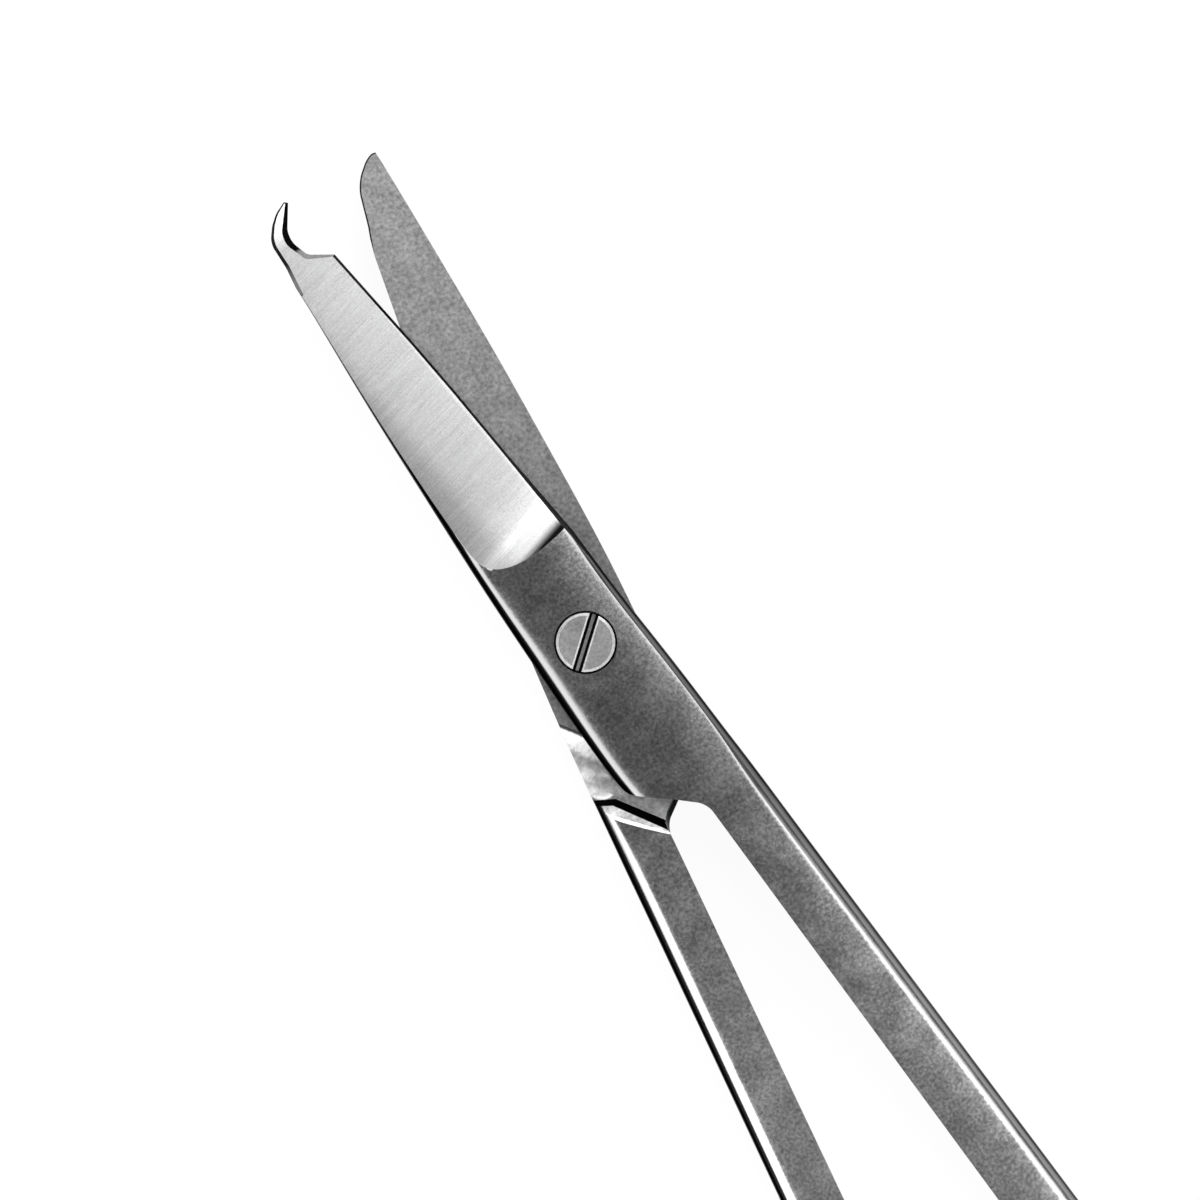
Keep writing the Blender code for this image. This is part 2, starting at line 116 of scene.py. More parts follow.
# Blades. A spine is given by how far across it lies at these shares of the blade's length
SPINE_STATIONS = (0.058, 0.2, 0.38, 0.56, 0.72, 0.855, 0.96, 1.08)
HOOK_SPINE = (-2.7, -2.54, -2.19, -1.88, -1.48, -1.13, -1.1, -1.1)
PLAIN_SPINE = (-2.85, -2.73, -2.42, -2.11, -1.73, -1.4, -1.12, -0.8)
EDGE_STOCK = 2.75
EDGE_HEIGHT = 0.24
HONED_WIDTH = 0.15
HEEL_STOCK = 0.28
BEVEL_ANGLE = 14.0
WHEEL_RADIUS = 3.1
# The run-out starts over this length, on this radius
WHEEL_EASE = (1.0, 9.5)
WHEEL_EASE_STEPS = (0, 0.2, 0.4, 0.6, 0.8, 1)
WHEEL_TURN = 9.3
# Where the wheel's path starts, short of the edge, and how wide it is
WHEEL_RUN = (4, 14)
GROUND_START = 8.15
HOOK_EDGE = ((2.62, 3.3), (2.45, 5.2), (2.34, 10.2), (2.14, 13.6), (1.91, 16.7), (1.37, 22.45))
PLAIN_EDGE = ((2.62, 3.3), (2.45, 5.2), (2.24, 10.2), (1.93, 14.5), (1.58, 18.15), (1.21, 21.76))

# Tips, measured from the end of the blade
NOTCH = ((1.33, -3.46), (0.29, -2.71), (-0.05, -1.49), (1.02, -0.11))
NOTCH_RADII = (0.45, 1.1)
NOTCH_DRAFT = 25.0
HOOK_BACK = ((-1.22, -4.0), (-0.965, -2.65), (-0.87, -1.2), (-0.3, -0.56), (0.2, -0.19), (0.86, 0.05))
HOOK_BACK_RADII = (2.0, 1.0, 1.2, 1.2)
HOOK_BACK_DRAFT = 14.0
NOSE = ((0.9, -3.1), (0.49, -1.04), (-0.44, -0.088), (-0.78, 0.04), (-0.98, 0.02), (-1.2, -0.25))
NOSE_RADII = (3.0, 2.1, 1.2)
NOSE_DRAFT = 9.0
NOSE_BREAK = (0.09, 0.14)

# Pivot screw
SCREW_RADIUS = 1.0
SCREW_FIT = 0.015
SCREW_RUNNING_FIT = 0.03
HEAD_RADIUS = 1.44
HEAD_HEIGHT = 0.95
HEAD_FIT = 0.1
HEAD_RECESS_BREAK = (0.1, 0.07)
HEAD_SUNK = 0.04
SEAT_GAP = 0.04
HEAD_CHAMFER = 0.13
HEAD_CROWN = 0.07
TAIL_CHAMFER = 0.08
SLOT_WIDTH = 0.46
SLOT_FLOOR_WIDTH = 0.16
SLOT_BREAK = (0.08, 0.045)
SLOT_DEPTH = 0.45
SLOT_ANGLE = 42.15

# How far cutters reach past the steel, above and below and at the sides
PAST = 1.5
FAR = 8.0
ROUND_STEPS = 96
CUTTER_LEVEL = 0.7
CLOSE = 1e-4
DOUBLES = 0.0005
SHARP_ANGLE = 26
SMOOTHNESS = 3

# The photograph's frame, whose upright leans from the scissors' mid-line
CAMERA_TURN = math.radians(30.85)
CAMERA_AIM = Vector((1.663, 1.415, 2.0))
IMAGE_SIZE = 1200
PIXELS_PER_MM = 20.5
VIEW_WIDTH = IMAGE_SIZE / PIXELS_PER_MM
LENS = 300.0
SENSOR = 36.0

# The studio. A softbox leans from the vertical towards an azimuth and stands at a distance in metres
SOFTBOXES = (
    # name, lean, azimuth, distance, width, height, radiance
    ("left softbox", 58, 180, 1.5, 2.6, 1.15, 2.3),
    ("right softbox", 32, 0, 1.5, 2.6, 0.8, 1.75),
    ("right edge softbox", 58, 0, 1.5, 2.6, 0.5, 2.6),
    ("front softbox", 56, -100, 1.5, 2.4, 1.3, 2.2),
    ("back softbox", 54, 70, 1.5, 2.8, 1.4, 2.2),
)
WORLD_GREY = 0.14
CARD_GREY = 0.93
CARD_SIZE = 8
CARD_BELOW = 0.00002
WHITE_SHARE = 0.93
FLAGS_RADIUS = 1.3
FLAGS_HEIGHT = 0.3
FELT_GREY = 0.02


# Working in edit mode


def alone(obj):
    """Leaves this object alone selected and active."""
    bpy.ops.object.select_all(action="DESELECT")
    obj.select_set(True)
    bpy.context.view_layer.objects.active = obj


def edit(obj):
    """Opens this object alone for editing, by its corners."""
    alone(obj)
    bpy.ops.object.mode_set(mode="EDIT")
    bpy.ops.mesh.select_mode(type="VERT")


def leave():
    bpy.ops.object.mode_set(mode="OBJECT")


def open_mesh():
    """The mesh being edited, with its corners numbered."""
    bm = bmesh.from_edit_mesh(bpy.context.edit_object.data)
    bm.verts.index_update()
    bm.verts.ensure_lookup_table()
    return bm


def pick(indices):
    """Selects these corners, and the edges and faces between them."""
    bpy.ops.mesh.select_all(action="DESELECT")
    bm = open_mesh()
    for index in indices:
        bm.verts[index].select_set(True)
    bm.select_flush_mode()
    bmesh.update_edit_mesh(bpy.context.edit_object.data)


def nearest(places):
    """The corners of the mesh that lie nearest to these places."""
    bm = open_mesh()
    return [min(bm.verts, key=lambda v: (v.co - place).length_squared).index for place in places]


def send(corners, places):
    """Moves each corner to its place."""
    for corner, place in zip(corners, places):
        pick([corner])
        offset = place - open_mesh().verts[corner].co
        bpy.ops.transform.translate(value=offset)


def draw(places):
    """Adds a face to the mesh being edited, with its corners at these places."""
    bpy.ops.mesh.select_all(action="DESELECT")
    bpy.ops.mesh.primitive_circle_add(vertices=len(places), radius=1, fill_type="NGON")
    fresh = [v for v in open_mesh().verts if v.select]
    fresh.sort(key=lambda v: math.atan2(v.co.x, v.co.y))
    send([v.index for v in fresh], places)


def draw_out(face, places):
    """Extrudes the face with these corners, and sends them to their new places."""
    pick(nearest(face))
    bpy.ops.mesh.extrude_region_move()
    fresh = [v for v in open_mesh().verts if v.select]
    followers = [min(fresh, key=lambda v: (v.co - here).length_squared).index for here in face]
    send(followers, places)


def new_mesh(name):
    """An empty mesh object, open for editing."""
    bpy.ops.object.select_all(action="DESELECT")
    bpy.ops.mesh.primitive_plane_add(size=1)
    obj = bpy.context.active_object
    obj.name = name
    edit(obj)
    bpy.ops.mesh.select_all(action="SELECT")
    bpy.ops.mesh.delete(type="VERT")
    return obj


def face_outwards():
    bpy.ops.mesh.select_all(action="SELECT")
    bpy.ops.mesh.normals_make_consistent(inside=False)


def apply_modifier(obj, kind, **settings):
    """Gives the object a modifier with these settings and applies it."""
    modifier = obj.modifiers.new(kind.lower(), kind)
    for setting, value in settings.items():
        setattr(modifier, setting, value)
    alone(obj)
    bpy.ops.object.modifier_apply(modifier=modifier.name)


# Cutters


def mix(a, b, share):
    """The value this share of the way from a to b, and never past either."""
    return a + (b - a) * min(max(share, 0), 1)


def flat(outline, height):
    """The outline at this height."""
    return [Vector((x, y, height)) for x, y in outline]


def slab(name, first, second, finish, rounds=(), walls=None, level=CUTTER_LEVEL):
    """A solid between two outlines of as many corners, with rounds of (corner, radius, steps)."""
    return stack(name, [first, second], finish, walls or finish, rounds, level)


def stack(name, levels, finish, walls, rounds=(), level=CUTTER_LEVEL):
    """A solid through several outlines of as many corners, each above or below the last."""
    obj = new_mesh(name)
    draw(levels[0])
    for here, there in zip(levels, levels[1:]):
        draw_out(here, there)
    first = levels[0]
    for corner, radius, steps in rounds:
        before = (first[corner - 1] - first[corner]).normalized()
        after = (first[(corner + 1) % len(first)] - first[corner]).normalized()
        pick(nearest([outline[corner] for outline in levels]))
        reach = radius / math.tan(before.angle(after) / 2)
        bpy.ops.mesh.bevel(offset=reach, segments=steps, profile=0.5, affect="EDGES")
    return finished_cutter(obj, finish, walls, level)


def finished_cutter(obj, finish, walls, level):
    """Leaves the open cutter with one finish where it lies flatter than level, and one elsewhere."""
    face_outwards()
    leave()
    obj.data.materials.append(finish)
    obj.data.materials.append(walls)
    for face in obj.data.polygons:
        face.material_index = 0 if abs(face.normal.z) > level else 1
    return obj


def grown(outline, distance):
    """The closed outline moved sideways by this distance, outwards when positive."""
    area = sum(a.cross(b) for a, b in zip(outline, outline[1:] + outline[:1]))
    side = math.copysign(1, area)
    moved = []
    for index, here in enumerate(outline):
        before = (here - outline[index - 1]).normalized()
        after = (outline[(index + 1) % len(outline)] - here).normalized()
        normal_before = Vector((before.y, -before.x)) * side
        normal_after = Vector((after.y, -after.x)) * side
        mitre = (normal_before + normal_after) / (1 + normal_before.dot(normal_after))
        moved.append(here + mitre * distance)
    return moved


def through(name, outline, finish, rounds=()):
    """A cutter with upright walls, right through the half."""
    return slab(name, flat(outline, -PAST), flat(outline, THICKNESS + PAST), finish, rounds)


def drafted(name, outline, draft, finish, rounds):
    """A cutter for the blade alone, whose wall leans into what it leaves, from the lap up."""
    slope = math.tan(math.radians(draft))
    low = LAP - LAP_CLEARANCE
    high = THICKNESS + LAP_CLEARANCE
    below = flat(grown(outline, (low - LAP) * slope), low)
    above = flat(grown(outline, (high - LAP) * slope), high)
    return slab(name, below, above, finish, rounds)


def lap_cutter(finish, shoulder):
    """Takes the lower layer off the joint and blade, up to a leaning shoulder."""
    along = SHOULDER_FOOT_IN - SHOULDER_FOOT_OUT
    last_foot = SHOULDER_FOOT_IN + along * 0.3
    far = [Vector((-FAR, BLADE_REACH + FAR)), Vector((FAR, BLADE_REACH + FAR))]
    foot = [Vector((FAR, SHOULDER_FOOT_OUT.y + SHOULDER_STOCK)), SHOULDER_BEND, SHOULDER_FOOT_OUT]
    foot += [last_foot, Vector((-FAR, last_foot.y))]
    back = shoulder_back() * SHOULDER_LEAN * (LAP + PAST)
    foot_level = flat(far + foot, LAP + LAP_CLEARANCE / 2)
    top_level = flat(far + [place + back for place in foot], -PAST)
    return slab("lap", foot_level, top_level, finish, walls=shoulder)


def shoulder_back():
    """The level direction straight back from the shoulder's foot."""
    back = (SHOULDER_FOOT_IN - SHOULDER_FOOT_OUT).orthogonal().normalized()
    return back if back.y < 0 else -back


def crest_cutter(slope, crest):
    """Takes the top off the shoulder: a slope behind its wall, then the crest at the shank's face."""
    along = (SHOULDER_FOOT_IN - SHOULDER_FOOT_OUT).normalized()
    back = shoulder_back()
    length = (SHOULDER_FOOT_IN - SHOULDER_FOOT_OUT).length
    ends = []
    for reach in CREST_REACH:
        profile = []
        for (far_out, deep_out), (far_in, deep_in) in zip(CREST_OUT, CREST_IN):
            back_by = far_out + (far_in - far_out) * reach
            profile.append((back_by, deep_out + (deep_in - deep_out) * reach))
        foot, top = profile[0], profile[1]
        profile[0] = (foot[0] - 1.5, foot[1] + (foot[1] - top[1]) * 1.5 / (top[0] - foot[0]))
        first, last = profile[1], profile[2]
        profile[2] = (last[0] + (last[0] - first[0]) * 2, last[1] + (last[1] - first[1]) * 2)
        profile += [(profile[2][0], -PAST), (profile[0][0], -PAST)]
        origin = SHOULDER_FOOT_OUT + along * length * reach
        ends.append([(origin + back * s).to_3d() + Vector((0, 0, z)) for s, z in profile])
    return slab("crest", ends[0], ends[1], slope, walls=crest, level=0.94)


def relief_cutter(finish):
    """The hollow ground into the lapped face along the shoulder, deepest at its foot."""
    along = (SHOULDER_FOOT_IN - SHOULDER_FOOT_OUT).normalized()
    across = Vector((-along.y, along.x))
    across = across if across.y > 0 else -across
    floor = LAP + LAP_CLEARANCE / 2
    before, length = RELIEF_RUN
    origin = SHOULDER_FOOT_OUT - along * before
    reach = along * length
    profile = [(RELIEF_START, floor - RELIEF_DEPTH)]
    for step in range(RELIEF_STEPS + 1):
        share = step / RELIEF_STEPS
        height = floor + RELIEF_DEPTH * (1 - share**3)
        profile.append((RELIEF_START + RELIEF_WIDTH * share, height))
    profile.append((RELIEF_START + RELIEF_WIDTH, floor - RELIEF_DEPTH))
    near = [(origin + across * s).to_3d() + Vector((0, 0, z)) for s, z in profile]
    return slab("relief", near, [place + reach.to_3d() for place in near], finish)


def spot_cutter(finish):
    """The round mark that a wheel leaves in the relief beside the shoulder: half a flattened ball."""
    floor = LAP + LAP_CLEARANCE / 2
    bpy.ops.object.select_all(action="DESELECT")
    bpy.ops.mesh.primitive_uv_sphere_add(segments=64, ring_count=32, radius=SPOT_RADIUS)
    obj = bpy.context.active_object
    obj.name = "spot"
    edit(obj)
    bpy.ops.mesh.select_all(action="SELECT")
    bpy.ops.transform.resize(value=(1, 1, (RELIEF_DEPTH + SPOT_DEPTH) / SPOT_RADIUS))
    bpy.ops.mesh.bisect(plane_co=(0, 0, 0), plane_no=(0, 0, 1), use_fill=True, clear_inner=True)
    bpy.ops.mesh.select_all(action="SELECT")
    bpy.ops.transform.translate(value=(SPOT_PLACE.x, SPOT_PLACE.y, floor))
    return finished_cutter(obj, finish, finish, 0)


def wheel_cutter(edge, finish):
    """The grinding wheel's path over the blade: a leaning plane with a round run-out at the heel."""
    low_end = Vector(edge[1])
    high_end = Vector(edge[-1])
    ahead = (high_end - low_end).normalized().to_3d()
    rise = math.radians(BEVEL_ANGLE)
    across = Vector((-ahead.y, ahead.x, 0)) * math.cos(rise) + Vector((0, 0, math.sin(rise)))
    normal = ahead.cross(across)
    normal = normal if normal.z > 0 else -normal
    turn = Matrix.Rotation(math.radians(WHEEL_TURN), 3, normal)
    axis = turn @ across
    forward = turn @ ahead
    start = edge_point(edge, GROUND_START).to_3d()
    start.z = LAP + EDGE_HEIGHT
    before, width = WHEEL_RUN
    origin = start - axis * before
    length, radius = WHEEL_EASE
    tilt = length / radius
    back = length + WHEEL_RADIUS * (1 - math.sin(tilt))
    foot = length * tilt / 2 + (back - length) * math.tan(tilt)
    profile = [(-back, foot), (-back, 2 * THICKNESS)]
    profile += [(BLADE_REACH, 2 * THICKNESS), (BLADE_REACH, 0)]
    profile += [(-length * s, length * tilt * s * s / 2) for s in WHEEL_EASE_STEPS]
    near = [origin + forward * s + normal * n for s, n in profile]
    far = [place + axis * width for place in near]
    return slab("wheel", near, far, finish, [(0, WHEEL_RADIUS, 40)])


def edge_point(edge, y):
    """The place on the cutting edge's chord at this distance up the blade."""
    low, high = Vector(edge[1]), Vector(edge[-1])
    return low.lerp(high, (y - low.y) / (high.y - low.y))


def edge_cutter(edge, heel_stock, finish):
    """Everything past the cutting edge, which is honed off at a slant along the blade.

    heel_stock is how far the lapped side stands out past the face beside the heel.
    """
    outline = [Vector(place) for place in edge]
    outline.insert(0, outline[0] * 2 - outline[1])
    outline.append(outline[-1] + (outline[-1] - outline[-2]) * 1.4)
    honed = [place - Vector((HONED_WIDTH if place.y > GROUND_START else 0, 0)) for place in outline]
    outline = [place + Vector((0 if place.y > GROUND_START else heel_stock, 0)) for place in outline]
    ends = [Vector((FAR, outline[-1].y)), Vector((FAR, outline[0].y))]
    edge_top = LAP + EDGE_HEIGHT
    levels = [flat(outline + ends, -PAST), flat(outline + ends, LAP)]
    levels += [flat(honed + ends, edge_top), flat(honed + ends, THICKNESS + PAST)]
    return stack("edge", levels, finish, finish)


def from_tip(places):
    """Places measured from the end of the blade, as corners of an outline."""
    return [Vector((x, BLADE_REACH + y)) for x, y in places]


def notch_cutter(finish):
    """The notch behind the hook, which takes the stitch."""
    flank, foot, throat, lip = from_tip(NOTCH)
    lip_end = lip + (lip - throat) * 1.2
    outline = [flank + (flank - foot) * 3, foot, throat, lip_end, Vector((FAR, lip_end.y))]
    rounds = [(1, NOTCH_RADII[0], 12), (2, NOTCH_RADII[1], 20)]
    return drafted("notch", outline, NOTCH_DRAFT, finish, rounds)


def hook_back_cutter(finish):
    """The rounded back and point of the hook."""
    back = from_tip(HOOK_BACK)
    below_lip = back[-1].y - 0.6
    outline = [Vector((-FAR, back[0].y))] + back + [back[-1] + Vector((0.6, -0.6))]
    outline += [Vector((FAR, below_lip)), Vector((FAR, BLADE_REACH + FAR))]
    outline += [Vector((-FAR, BLADE_REACH + FAR))]
    rounds = [(2 + index, radius, 14) for index, radius in enumerate(HOOK_BACK_RADII)]
    return drafted("hook_back", outline, HOOK_BACK_DRAFT, finish, rounds)


def nose_cutter(finish):
    """The rounded nose, with its edge broken on the lapped face."""
    nose = from_tip(NOSE)
    edge_end = Vector(PLAIN_EDGE[-1])
    outline = [edge_end * 2 - nose[0]] + nose
    outline += [Vector((-FAR, nose[-1].y)), Vector((-FAR, BLADE_REACH + FAR))]
    outline += [Vector((FAR, BLADE_REACH + FAR)), Vector((FAR, outline[0].y))]
    width, depth = NOSE_BREAK
    slope = math.tan(math.radians(NOSE_DRAFT))
    high = THICKNESS + LAP_CLEARANCE
    levels = [flat(grown(outline, width * 1.5), LAP - depth / 2)]
    levels.append(flat(outline, LAP + depth))
    levels.append(flat(grown(outline, (high - LAP - depth) * slope), high))
    rounds = [(1 + index, radius, 16) for index, radius in enumerate(NOSE_RADII)]
    return stack("nose", levels, finish, finish, rounds)


def inner_side_cutter(inner, finish):
    """The joint's slanting end, which leans under, and the flat inner side of the shank."""
    corner, middle, crotch = [Vector(place) for place in JOINT_END]
    crotch.x = inner
    start = corner + END_START
    bottom = Vector((inner, -(SHANK_REACH + RING_WIDTH + RING_HOLE_LENGTH / 2)))
    levels = []
    for height in (-PAST, THICKNESS + PAST):
        under = Vector((0, END_LEAN * (THICKNESS - height) / LAP))
        end = [place + under for place in (start, corner, middle, crotch)]
        outline = end + [bottom, Vector((-FAR, bottom.y)), Vector((-FAR, end[0].y))]
        levels.append(flat(outline, height))
    rounds = [(1, END_CORNER, 8), (3, CROTCH_RADIUS, 16)]
    return stack("inner_side", levels, finish, finish, rounds)


def round_bar(name, radius, bottom, top, finish):
    """A cylinder on the pivot's axis, with its place in its mesh."""
    bpy.ops.object.select_all(action="DESELECT")
    middle = (0, 0, (bottom + top) / 2)
    bpy.ops.mesh.primitive_cylinder_add(
        vertices=ROUND_STEPS, radius=radius, depth=top - bottom, location=middle
    )
    obj = bpy.context.active_object
    obj.name = name
    bpy.ops.object.transform_apply(location=True, rotation=False, scale=False)
    obj.data.materials.append(finish)
    return obj


def recess_break(finish):
    """A cone that breaks the edge of the screw head's recess."""
    width, depth = HEAD_RECESS_BREAK
    radius = HEAD_RADIUS + HEAD_FIT
    reach = 3 * depth
    bpy.ops.object.select_all(action="DESELECT")
    bpy.ops.mesh.primitive_cone_add(
        vertices=ROUND_STEPS,
        radius1=radius - width,
        radius2=radius + width * (1 + (reach - 2 * depth) / depth),
        depth=reach,
        location=(0, 0, THICKNESS - 2 * depth + reach / 2),
    )
    obj = bpy.context.active_object
    obj.name = "recess_break"
    bpy.ops.object.transform_apply(location=True, rotation=False, scale=False)
    obj.data.materials.append(finish)
    return obj


def cut(obj, cutter):
    """Takes the cutter's shape off the object, with the cutter's finish on the cut."""
    apply_modifier(
        obj,
        "BOOLEAN",
        operation="DIFFERENCE",
        solver="EXACT",
        material_mode="TRANSFER",
        object=cutter,
    )
    bpy.data.objects.remove(cutter, do_unlink=True)


# The forging


def bar_section(y, left, right):
    """Twelve corners of the bar: four across the top, two down each side, four below."""
    share = (SHOULDER_FOOT_OUT.y - y) / (SHOULDER_FOOT_OUT.y - SHOULDER_FOOT_IN.y)
    thinning = (SHOULDER_FOOT_IN.y - y) / (SHANK_REACH / 2)
    top = mix(THICKNESS, SHANK_THICKNESS, thinning) / 2
    spine_band = mix(JOINT_SPINE_BAND, TIP_SPINE_BAND, y / BLADE_REACH)
    spine_band = mix(spine_band, END_SPINE_BAND, y / SHOULDER_FOOT_OUT.y)
    band = mix(JOINT_EDGE_BAND, SHANK_BAND, share)
    drop = mix(FACE_DROP, SHANK_DROP, share)
    apex = mix(0.5, 0.2, share)
    upper = []
    for across in (0, 1 / 3, 2 / 3, 1):
        fall = drop * ((across - apex) / (1 - apex)) ** 2
        upper.append((mix(left + spine_band, right - band, across), top - fall))
    side = top * mix(SIDE_FLAT, BLADE_SIDE_FLAT, (y - 1) / 7)
    outline = upper + [(right, side), (right, -side)]
    outline += [(x, -z) for x, z in reversed(upper)] + [(left, -side), (left, side)]
    return [Vector((x, y, z + LAP)) for x, z in outline]


def bar_stations(spine, shank):
    """(y, left, right) along the bar, from past the tip down to where the ring starts."""
    width = JOINT_HALF_WIDTH
    inner, outer, outer_end = shank
    inner -= JOINT_SPINE_BAND + SIDE_STOCK
    foot = SHOULDER_FOOT_IN.y
    stations = [(BLADE_REACH * s, x, EDGE_STOCK) for s, x in zip(SPINE_STATIONS, spine)]
    stations.reverse()
    stations += [(y, left * width, right * width) for y, left, right in JOINT_STATIONS]
    stations += [(foot + 0.9, -0.85 * width, outer), (foot - 1.4, inner - 0.35, outer + 0.03)]
    last = -(SHANK_REACH - RING_WIDTH / 2)
    for share in SHANK_STATIONS:
        stations.append((mix(foot, last, share), inner, mix(outer, outer_end, share)))
    return stations


def ring_section(angle):
    """Twelve corners of the ring: four across the top from the hole out, and so round."""
    centre = Vector((RING_GAP / 2 + RING_WIDTH + RING_HOLE_WIDTH / 2, 0))
    centre.y = -(SHANK_REACH + RING_WIDTH + RING_HOLE_LENGTH / 2)
    toward = Vector((math.cos(angle), math.sin(angle)))
    hole = Vector((RING_HOLE_WIDTH / 2 * toward.x, RING_HOLE_LENGTH / 2 * toward.y))
    outward = Vector((toward.x / RING_HOLE_WIDTH, toward.y / RING_HOLE_LENGTH)).normalized()
    profile = RING_PROFILE + tuple((-u, -w) for u, w in RING_PROFILE)
    corners = []
    for u, w in profile:
        place = centre + hole + outward * RING_WIDTH / 2 * (1 + u)
        corners.append(Vector((place.x, place.y, (1 + w) * LAP)))
    return corners


def open_end(places):
    """Takes away the face with these corners and keeps its edges."""
    pick(nearest(places))
    bpy.ops.mesh.delete(type="ONLY_FACE")


def crease(chain, value):
    """Creases the edges along this chain of places."""
    for first, second in zip(chain, chain[1:]):
        pick(nearest([first, second]))
        bpy.ops.transform.edge_crease(value=value)


def forging(name, spine, shank, edge_break, finish):
    """One half before grinding: blade stock, joint, shank and ring in one smooth piece."""
    obj = new_mesh(name)
    bar = [bar_section(*station) for station in bar_stations(spine, shank)]
    draw(bar[0])
    for here, there in zip(bar, bar[1:]):
        draw_out(here, there)
    open_end(bar[-1])

    turns = [RING_MOUTH * index / 3 for index in range(3)]
    turns += [mix(RING_MOUTH, 360, index / RING_STATIONS) for index in range(RING_STATIONS)]
    ring = [ring_section(math.radians(RING_START - turn)) for turn in turns]
    draw(ring[0])
    for here, there in zip(ring, ring[1:]):
        draw_out(here, there)
    open_end(ring[0])
    open_end(ring[-1])
    pick(nearest(ring[0] + ring[-1]))
    bpy.ops.mesh.bridge_edge_loops()

    mouth = [station[corner] for station in ring[:4] for corner in (3, 4, 5, 6)]
    pick(nearest(mouth))
    bpy.ops.mesh.delete(type="FACE")
    rim = [place for index, place in enumerate(mouth) if index not in (5, 6, 9, 10)]
    pick(nearest(bar[-1] + rim))
    bpy.ops.mesh.bridge_edge_loops()
    face_outwards()

    for corner in (0, 9):
        crease([section[corner] for section in bar[:-3]], 0.08)
    wanted = []
    for corner in (3, 6):
        wanted += [section[corner] for section in bar[:-1]]
    pick(nearest(wanted))
    bpy.ops.mesh.bevel(offset=edge_break, segments=2, profile=0.5, affect="EDGES")
    leave()
    apply_modifier(obj, "SUBSURF", levels=SMOOTHNESS, render_levels=SMOOTHNESS)
    obj.data.materials.append(finish)
    return obj


# The pieces


def half_place(turn_over, turn):
    """The move from a half's own frame to where the half lies, both in millimetres."""
    place = Matrix.Rotation(math.radians(turn), 4, "Z")
    if turn_over:
        place = Matrix.Translation((0, 0, THICKNESS)) @ place @ Matrix.Rotation(math.pi, 4, "Y")
    return place


HOOK_PLACE = half_place(False, REST_OPENING / 2)
PLAIN_PLACE = half_place(True, -REST_OPENING / 2)


def placed(obj, place):
    """Moves the finished mesh to its place, in metres."""
    obj.matrix_world = Matrix.Scale(MM, 4) @ place
    alone(obj)
    bpy.ops.object.transform_apply(location=True, rotation=True, scale=True)


def smooth(obj):
    """Shades the piece smooth, apart from its ground edges."""
    edit(obj)
    bpy.ops.mesh.select_all(action="SELECT")
    bpy.ops.mesh.remove_doubles(threshold=DOUBLES)
    leave()
    bpy.ops.object.shade_smooth_by_angle(angle=math.radians(SHARP_ANGLE))
    apply_modifier(obj, "WEIGHTED_NORMAL", keep_sharp=True, weight=70)


def hook_half():
    """The upper half: forged, lapped, ground, notched and bored for the screw's head."""
    obj = forging("hook_half_finished", HOOK_SPINE, HOOK_SHANK, HOOK_EDGE_BREAK, hook_satin)
    cut(obj, lap_cutter(hook_lapped, filed_painted_shade))
    cut(obj, crest_cutter(hook_lapped, crest))
    cut(obj, relief_cutter(hook_relief))
    cut(obj, spot_cutter(wheel_spot))
    cut(obj, wheel_cutter(HOOK_EDGE, hook_ground))
    cut(obj, edge_cutter(HOOK_EDGE, HEEL_STOCK, honed))
    cut(obj, notch_cutter(notch_painted_shade))
    cut(obj, hook_back_cutter(hook_back))
    cut(obj, inner_side_cutter(HOOK_SHANK[0], hook_satin))
    cut(obj, round_bar("bore", SCREW_RADIUS + SCREW_RUNNING_FIT, -PAST, THICKNESS + PAST, filed_painted_shade))
    seat = THICKNESS - HEAD_SUNK - HEAD_HEIGHT - SEAT_GAP
    cut(obj, round_bar("counterbore", HEAD_RADIUS + HEAD_FIT, seat, THICKNESS + PAST, filed_painted_shade))
    cut(obj, recess_break(honed))
    smooth(obj)
    placed(obj, HOOK_PLACE)
    return obj


def plain_half():
    """The lower half: forged, lapped, ground, rounded at the nose and bored for the screw."""
    obj = forging("plain_half_finished", PLAIN_SPINE, PLAIN_SHANK, PLAIN_EDGE_BREAK, plain_satin)
    cut(obj, lap_cutter(plain_lapped, filed_painted_shade))
    cut(obj, crest_cutter(plain_lapped, crest))
    cut(obj, relief_cutter(plain_relief))
    cut(obj, spot_cutter(wheel_spot))
    cut(obj, wheel_cutter(PLAIN_EDGE, plain_ground))
    cut(obj, edge_cutter(PLAIN_EDGE, 0, honed))
    cut(obj, nose_cutter(filed_painted_shade))
    cut(obj, inner_side_cutter(PLAIN_SHANK[0], plain_satin))
    cut(obj, round_bar("bore", SCREW_RADIUS + SCREW_FIT, -PAST, THICKNESS + PAST, filed_painted_shade))
    smooth(obj)
    placed(obj, PLAIN_PLACE)
    return obj


